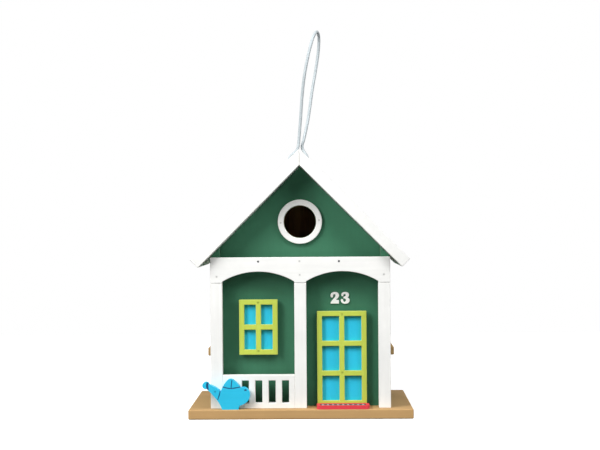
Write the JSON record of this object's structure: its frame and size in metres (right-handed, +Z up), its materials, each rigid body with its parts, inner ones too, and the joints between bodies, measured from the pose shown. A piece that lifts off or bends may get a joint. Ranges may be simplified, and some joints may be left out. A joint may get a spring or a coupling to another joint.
{
  "type": "cottage birdhouse",
  "caption": "Painted wooden nest box shaped like a cottage: gabled roof, round entrance, arched porch, hinged rear clean-out hatch and a cord loop to hang it by.",
  "frame": {"origin": "centre of the base board's underside", "axes": "+Z up, +X to the right seen from the front, -Y out of the front"},
  "size_m": [0.221, 0.155, 0.391],
  "materials": {
    "green_paint": "dark green matt paint on wood",
    "white_paint": "white matt paint on wood",
    "tan_paint": "light brown matt paint on wood",
    "lime_paint": "yellow-green satin paint on wood",
    "blue_paint": "sky blue satin paint on wood",
    "red_paint": "red matt paint on wood",
    "teal_paint": "dark teal matt paint on wood",
    "white_cord": "braided white polyester cord",
    "zinc": "zinc-plated steel",
    "steel": "bright steel"
  },
  "bodies": {
    "house": {"base_board": "tan_paint", "front_wall": "green_paint", "back_wall": "green_paint", "side_wall_left": "green_paint", "side_wall_right": "green_paint", "roof_board_left": "white_paint", "roof_board_right": "white_paint", "entrance_ring": "white_paint", "porch_beam": "white_paint", "porch_post_left": "white_paint", "porch_post_middle": "white_paint", "porch_post_right": "white_paint", "porch_railing": "white_paint", "porch_spacer": "green_paint", "window_panes": "blue_paint", "window_frame": "lime_paint", "door_panes": "blue_paint", "door_frame": "lime_paint", "side_window_panes_left": "blue_paint", "side_window_panes_right": "blue_paint", "side_window_frame_left": "lime_paint", "side_window_frame_right": "lime_paint", "side_sill_left": "tan_paint", "side_sill_right": "tan_paint", "door_mat": "red_paint", "mat_inlay": "teal_paint", "watering_can": "blue_paint", "house_number_2": "white_paint", "house_number_3": "white_paint", "hanging_cord": "white_cord", "cord_knot_left": "white_cord", "cord_knot_right": "white_cord", "hinge_wall_leaf_left": "zinc", "hinge_wall_leaf_right": "zinc", "hinge_pin_left": "steel", "hinge_pin_right": "steel", "turn_button_screw": "zinc", "brad_beam_left": "steel", "brad_beam_middle": "steel", "brad_beam_right": "steel", "brad_post_left": "steel", "brad_post_middle": "steel", "brad_post_right": "steel", "brad_window_top": "steel", "brad_window_bottom": "steel", "brad_door_top": "steel", "brad_door_bottom": "steel", "brad_ring_left": "steel", "brad_ring_right": "steel", "brad_can": "steel"},
    "hatch": {"cleanout_hatch": "green_paint", "hinge_hatch_leaf_left": "zinc", "hinge_hatch_leaf_right": "zinc"},
    "button": {"turn_button": "white_paint"}
  },
  "joints": [
    {"name": "hatch_hinge", "type": "hinge", "parent": "house", "child": "hatch", "pos_m": [0, 0.0538, 0.1036], "axis": [1, 0, 0], "range_deg": [0, 110]},
    {"name": "button_turn", "type": "hinge", "parent": "house", "child": "button", "pos_m": [0.051, 0.052, 0.042], "axis": [0, 1, 0], "range_deg": [0, 90]}
  ]
}
